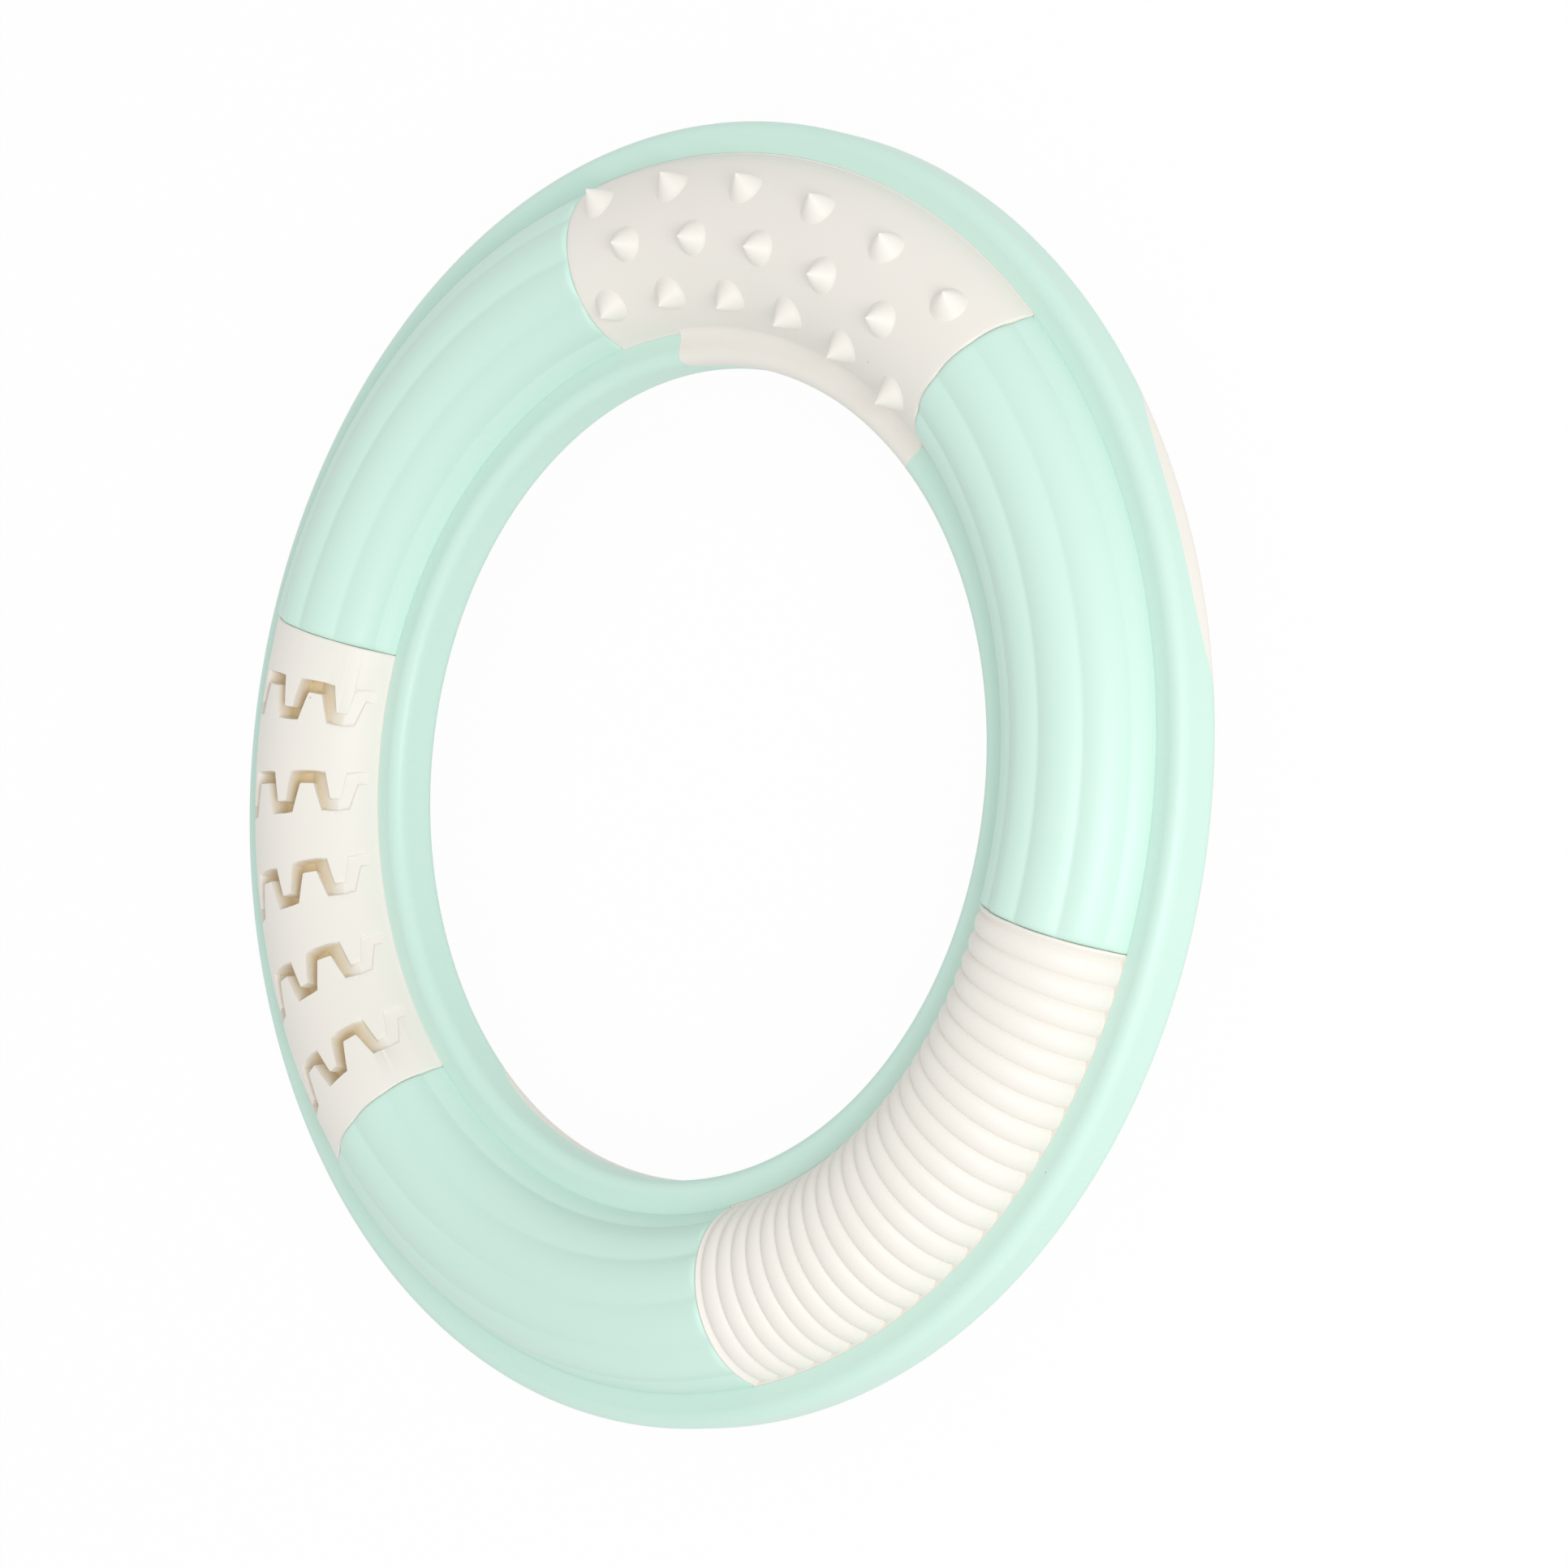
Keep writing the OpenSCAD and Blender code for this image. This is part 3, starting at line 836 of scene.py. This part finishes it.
def moulded_rubber(name, colours, roughness):
    """Moulded rubber: matte and a little cloudy, with a few dark specks and a fine grain."""
    base, pale, shade, speck, groove = [linear(colour) for colour in colours]
    material = bpy.data.materials.new(name)
    material.use_nodes = True
    tree = material.node_tree
    tree.nodes.clear()
    place = add(tree, "ShaderNodeTexCoord").outputs["Object"]
    # Wide clouds, where the pigment is a little uneven
    clouds = add(tree, "ShaderNodeTexNoise", {
        "Vector": place, "Scale": 1 / CLOUD_W, "Detail": CLOUD_DETAIL,
    })
    cloudy = add(tree, "ShaderNodeMix", {
        MIX_SHARE: clouds.outputs["Fac"], MIX_FIRST: shade, MIX_SECOND: pale,
    }, data_type="RGBA")
    plain = add(tree, "ShaderNodeMix", {
        MIX_SHARE: CLOUD_SHARE, MIX_FIRST: base, MIX_SECOND: cloudy.outputs[MIX_RESULT],
    }, data_type="RGBA")
    # Specks about 0.3 mm wide, in half of the cells
    cells = add(tree, "ShaderNodeTexVoronoi", {"Vector": place, "Scale": 1 / SPECK_CELL_W})
    near = add(tree, "ShaderNodeMapRange", {
        "Value": cells.outputs["Distance"],
        "From Min": SPECK_INNER_EDGE, "From Max": SPECK_OUTER_EDGE,
        "To Min": SPECK_SHARE, "To Max": 0.0,
    })
    chosen = add(tree, "ShaderNodeSeparateColor", {0: cells.outputs["Color"]}).outputs[0]
    kept = add(tree, "ShaderNodeMath", {0: chosen, 1: SPECKED_CELLS}, operation="LESS_THAN")
    dark = add(tree, "ShaderNodeMath", {
        0: near.outputs[0], 1: kept.outputs[0],
    }, operation="MULTIPLY")
    specked = add(tree, "ShaderNodeMix", {
        MIX_SHARE: dark.outputs[0], MIX_FIRST: plain.outputs[MIX_RESULT], MIX_SECOND: speck,
    }, data_type="RGBA")
    # Painted shade: deep in a groove the rubber is drawn tan, for the shade that falls there
    depth = add(tree, "ShaderNodeAttribute", attribute_name="groove")
    colour = add(tree, "ShaderNodeMix", {
        MIX_SHARE: depth.outputs["Fac"],
        MIX_FIRST: specked.outputs[MIX_RESULT], MIX_SECOND: groove,
    }, data_type="RGBA")
    # The grain is drawn coarser than the real one, which is too fine to show
    grain = add(tree, "ShaderNodeTexNoise", {
        "Vector": place, "Scale": 1 / GRAIN_W, "Detail": GRAIN_DETAIL,
    })
    bump = add(tree, "ShaderNodeBump", {
        "Height": grain.outputs["Fac"], "Strength": GRAIN_STRENGTH, "Distance": GRAIN_HEIGHT,
    })
    rough = add(tree, "ShaderNodeMapRange", {
        "Value": grain.outputs["Fac"],
        "To Min": roughness - ROUGHNESS_SWING, "To Max": roughness + ROUGHNESS_SWING,
    })
    shader = add(tree, "ShaderNodeBsdfPrincipled", {
        "Base Color": colour.outputs[MIX_RESULT], "Roughness": rough.outputs[0],
        "Normal": bump.outputs[0], "IOR": RUBBER_IOR, "Sheen Weight": RUBBER_SHEEN,
    })
    add(tree, "ShaderNodeOutputMaterial", {"Surface": shader.outputs[0]})
    return material


# Stage

def make_camera():
    """The photograph's camera, aimed so that the ring's centre falls on its pixel."""
    data = bpy.data.cameras.new("Camera")
    data.sensor_width = SENSOR
    data.lens = PHOTO_FOCAL / PHOTO_SIDE * SENSOR
    data.clip_start = CLIP_START
    camera = bpy.data.objects.new("Camera", data)
    bpy.context.scene.collection.objects.link(camera)
    back = Vector((math.sin(CAMERA_TILT), 0, math.cos(CAMERA_TILT)))
    up = Vector((0, 1, 0))
    right = up.cross(back).normalized()
    axes = Matrix((right, up, back)).transposed()
    middle = PHOTO_SIDE / 2
    centre = Vector((
        (RING_CENTRE_PX[0] - middle) / PHOTO_FOCAL, (middle - RING_CENTRE_PX[1]) / PHOTO_FOCAL, -1,
    )).normalized()
    turn = centre.rotation_difference(Vector((0, 0, -1))).to_matrix()
    roll = Matrix.Rotation(CAMERA_ROLL, 3, "Z")
    camera.matrix_world = Matrix.Translation(back * CAMERA_DISTANCE) @ (axes @ roll @ turn).to_4x4()
    bpy.context.scene.camera = camera


def seen_directly(tree):
    """1 where the camera, a reflection or a clear piece shows the white, and 0 for its light."""
    rays = add(tree, "ShaderNodeLightPath").outputs
    seen = rays["Is Camera Ray"]
    for ray in ("Is Glossy Ray", "Is Transmission Ray"):
        seen = add(tree, "ShaderNodeMath", {0: seen, 1: rays[ray]}, operation="MAXIMUM").outputs[0]
    return seen


def make_floor():
    """A plain white floor under the ring that keeps a faint shadow."""
    low = cad_box[0][2] - FLOOR_GAP
    corners = [
        (-FLOOR_HALF, -FLOOR_HALF, low), (FLOOR_HALF, -FLOOR_HALF, low),
        (FLOOR_HALF, FLOOR_HALF, low), (-FLOOR_HALF, FLOOR_HALF, low),
    ]
    mesh = bpy.data.meshes.new("Floor")
    mesh.from_pydata(corners, [], [(0, 1, 2, 3)])
    material = bpy.data.materials.new("White floor")
    material.use_nodes = True
    tree = material.node_tree
    tree.nodes.clear()
    share = add(tree, "ShaderNodeMath", {
        0: seen_directly(tree), 1: FLOOR_GLOW_SHARE,
    }, operation="MULTIPLY")
    paper = add(tree, "ShaderNodeBsdfDiffuse", {"Color": (FLOOR_PAPER,) * 3 + (1,)})
    white = add(tree, "ShaderNodeEmission", {"Color": WHITE, "Strength": 1.0})
    both = add(tree, "ShaderNodeMixShader", {
        0: share.outputs[0], 1: paper.outputs[0], 2: white.outputs[0],
    })
    add(tree, "ShaderNodeOutputMaterial", {"Surface": both.outputs[0]})
    mesh.materials.append(material)
    floor = bpy.data.objects.new("Floor", mesh)
    bpy.context.scene.collection.objects.link(floor)


def make_world():
    """Even white light from all round, seen as pure white."""
    world = bpy.data.worlds.new("Studio")
    bpy.context.scene.world = world
    world.use_nodes = True
    tree = world.node_tree
    tree.nodes.clear()
    strength = add(tree, "ShaderNodeMapRange", {
        "Value": seen_directly(tree), "To Min": WORLD_LIGHT, "To Max": 1.0,
    })
    white = add(tree, "ShaderNodeBackground", {"Color": WHITE, "Strength": strength.outputs[0]})
    add(tree, "ShaderNodeOutputWorld", {"Surface": white.outputs[0]})


def make_key_light():
    """A soft round lamp at the right, low over the front face."""
    data = bpy.data.lights.new("Key", "AREA")
    data.shape = "DISK"
    data.size = KEY_SIZE
    data.energy = KEY_POWER
    lamp = bpy.data.objects.new("Key", data)
    bpy.context.scene.collection.objects.link(lamp)
    away = Vector(KEY_PLACE)
    lamp.matrix_world = Matrix.Translation(away) @ away.to_track_quat("Z", "Y").to_matrix().to_4x4()


# The scene

BEND = bend_tree()
RIBS = rib_tree()
SPIKES = spike_tree()
MINT = moulded_rubber("Moulded mint rubber", MINT_COLOURS, MINT_ROUGHNESS)
CREAM = moulded_rubber("Moulded cream rubber", CREAM_COLOURS, CREAM_ROUGHNESS)

make_camera()
make_world()
make_floor()
make_key_light()

back_feet = [(SPIKED_TURN, BACK_HOLE_FOOT), (RIBBED_TURN, BACK_RIM_FOOT)]
make_shell("front_shell", [(SPIKED_TURN, FRONT_FOOT)], False)
make_shell("back_shell", back_feet, True)
make_spiked_panel("front_spiked_panel", [FRONT_FOOT], False)
make_zigzag_panel("front_zigzag_panel", False)
make_ribbed_panel("front_ribbed_panel", [], False)
make_spiked_panel("back_spiked_panel", [BACK_HOLE_FOOT], True)
make_zigzag_panel("back_zigzag_panel", True)
make_ribbed_panel("back_ribbed_panel", [BACK_RIM_FOOT], True)

bpy.context.scene.view_settings.view_transform = "Standard"
